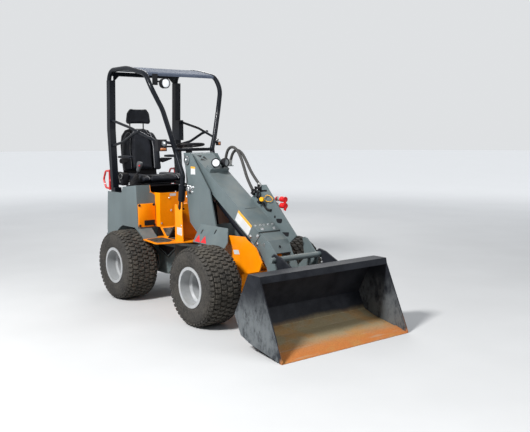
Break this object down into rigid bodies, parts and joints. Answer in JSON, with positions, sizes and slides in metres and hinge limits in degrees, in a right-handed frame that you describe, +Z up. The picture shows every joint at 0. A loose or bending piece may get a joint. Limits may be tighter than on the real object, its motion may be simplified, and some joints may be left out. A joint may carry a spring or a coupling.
{
  "type": "compact articulated wheel loader",
  "caption": "Compact loader that bends at a centre pivot, with an open roll-over frame over a rear seat, a straight boom between tower plates and a quick-hitched bucket.",
  "frame": {"origin": "On the floor under the middle of the machine's length and width, as it stands parked with the bucket on the ground.", "axes": "+X points forward to the bucket, +Y to the machine's left and +Z up."},
  "size_m": [3.162, 1.286, 2.194],
  "materials": {
    "black_paint": "gloss black paint",
    "black_plastic": "textured moulding",
    "bucket_paint": "dark grey paint, worn to rust inside",
    "cast_metal": "plain casting",
    "coupler_red": "red dust cap",
    "grey_paint": "semi-gloss grey paint, dusty",
    "hose_braid": "braided sleeve",
    "lamp_black": "lamp housing",
    "orange_paint": "semi-gloss orange paint, scuffed",
    "red_paint": "red paint",
    "rod_chrome": "polished rod",
    "rubber_mat": "ribbed mat",
    "seat_vinyl": "grained black vinyl",
    "silver_paint": "silver wheel paint",
    "tyre_rubber": "moulded tread rubber, dusty"
  },
  "bodies": {
    "rear_frame": {"rear_chassis": "grey_paint", "rear_axle": "cast_metal", "engine_block": "cast_metal", "counterweight": "grey_paint", "side_panels": "grey_paint", "service_covers": "orange_paint", "deck_cover": "black_plastic", "platform": "orange_paint", "floor_mat": "rubber_mat", "pedals": "black_paint", "seat_box": "orange_paint", "console": "orange_paint", "steering_column": "black_plastic", "seat_frame": "black_plastic", "seat_cushion": "seat_vinyl", "seat_back": "seat_vinyl", "headrest": "seat_vinyl", "armrests": "seat_vinyl", "control_lever": "black_plastic", "rops_frame": "black_paint", "roof_plate": "black_paint", "roof_lamp": "lamp_black", "indicator_lamps": "lamp_black", "lifting_loops": "red_paint"},
    "steering_wheel": {"steering_wheel": "black_plastic"},
    "rear_door": {"rear_door": "grey_paint"},
    "front_frame": {"front_chassis": "orange_paint", "front_axle": "cast_metal", "tower": "grey_paint"},
    "boom": {"boom": "grey_paint", "hose_inner": "hose_braid", "hose_outer": "hose_braid", "coupler_bracket": "grey_paint", "couplers": "coupler_red", "boom_lamps": "lamp_black"},
    "attachment": {"quick_hitch": "grey_paint", "bucket": "bucket_paint"},
    "lift_barrel": {"lift_barrel": "black_paint"},
    "lift_rod": {"lift_rod": "rod_chrome"},
    "tilt_barrel": {"tilt_barrel": "black_paint"},
    "tilt_rod": {"tilt_rod": "rod_chrome"},
    "steer_barrel": {"steer_barrel": "black_paint"},
    "steer_rod": {"steer_rod": "rod_chrome"},
    "wheel_rear_left": {"tyre_rear_left": "tyre_rubber", "rim_rear_left": "silver_paint"},
    "wheel_rear_right": {"tyre_rear_right": "tyre_rubber", "rim_rear_right": "silver_paint"},
    "wheel_front_left": {"tyre_front_left": "tyre_rubber", "rim_front_left": "silver_paint"},
    "wheel_front_right": {"tyre_front_right": "tyre_rubber", "rim_front_right": "silver_paint"}
  },
  "joints": [
    {"name": "articulation", "type": "hinge", "parent": "rear_frame", "child": "front_frame", "pos_m": [-0.301, 0, 0.456], "axis": [0, 0, 1], "range_deg": [-45, 45]},
    {"name": "boom_lift", "type": "hinge", "parent": "front_frame", "child": "boom", "pos_m": [-0.356, 0, 1.32], "axis": [0, -1, 0], "range_deg": [0, 72]},
    {"name": "bucket_tilt", "type": "hinge", "parent": "boom", "child": "attachment", "pos_m": [0.86533, 0, 0.44453], "axis": [0, -1, 0], "range_deg": [-65, 45]},
    {"name": "lift_barrel_pivot", "type": "hinge", "parent": "front_frame", "child": "lift_barrel", "pos_m": [-0.111, 0, 0.56], "axis": [0, -1, 0], "range_deg": [-25, 5]},
    {"name": "lift_rod_slide", "type": "slide", "parent": "lift_barrel", "child": "lift_rod", "axis": [-0.1818, 0, 0.9833], "range_m": [-0.02, 0.31]},
    {"name": "tilt_barrel_pivot", "type": "hinge", "parent": "boom", "child": "tilt_barrel", "pos_m": [-0.09322, 0, 0.97726], "axis": [0, -1, 0], "range_deg": [-5, 5]},
    {"name": "tilt_rod_slide", "type": "slide", "parent": "tilt_barrel", "child": "tilt_rod", "axis": [0.8138, 0, -0.5811], "range_m": [-0.14, 0.11]},
    {"name": "steer_barrel_pivot", "type": "hinge", "parent": "rear_frame", "child": "steer_barrel", "pos_m": [-0.746, 0.088, 0.455], "axis": [0, 0, 1], "range_deg": [-6, 6]},
    {"name": "steer_rod_slide", "type": "slide", "parent": "steer_barrel", "child": "steer_rod", "axis": [0.9959, 0.0904, 0], "range_m": [-0.11, 0.11]},
    {"name": "hand_wheel_turn", "type": "hinge", "parent": "rear_frame", "child": "steering_wheel", "pos_m": [-0.561, 0, 1.448], "axis": [-0.1045, 0, 0.9945], "continuous": true},
    {"name": "rear_door_hinge", "type": "hinge", "parent": "rear_frame", "child": "rear_door", "pos_m": [-1.481, 0.397, 0.77], "axis": [0, 0, -1], "range_deg": [0, 85]},
    {"name": "wheel_rear_left_turn", "type": "hinge", "parent": "rear_frame", "child": "wheel_rear_left", "pos_m": [-0.961, 0.4485, 0.325], "axis": [0, 1, 0], "continuous": true},
    {"name": "wheel_rear_right_turn", "type": "hinge", "parent": "rear_frame", "child": "wheel_rear_right", "pos_m": [-0.961, -0.4485, 0.325], "axis": [0, 1, 0], "continuous": true},
    {"name": "wheel_front_left_turn", "type": "hinge", "parent": "front_frame", "child": "wheel_front_left", "pos_m": [0.359, 0.4485, 0.325], "axis": [0, 1, 0], "continuous": true},
    {"name": "wheel_front_right_turn", "type": "hinge", "parent": "front_frame", "child": "wheel_front_right", "pos_m": [0.359, -0.4485, 0.325], "axis": [0, 1, 0], "continuous": true}
  ],
  "couplings": [
    {"joint": "lift_barrel_pivot", "follows": "boom_lift", "ratio": -0.25134},
    {"joint": "lift_rod_slide", "follows": "boom_lift", "m_per_rad": 0.22177},
    {"joint": "tilt_barrel_pivot", "follows": "bucket_tilt", "ratio": -0.01879},
    {"joint": "tilt_rod_slide", "follows": "bucket_tilt", "m_per_rad": 0.11245},
    {"joint": "steer_barrel_pivot", "follows": "articulation", "ratio": 0.09149},
    {"joint": "steer_rod_slide", "follows": "articulation", "m_per_rad": -0.12203}
  ]
}
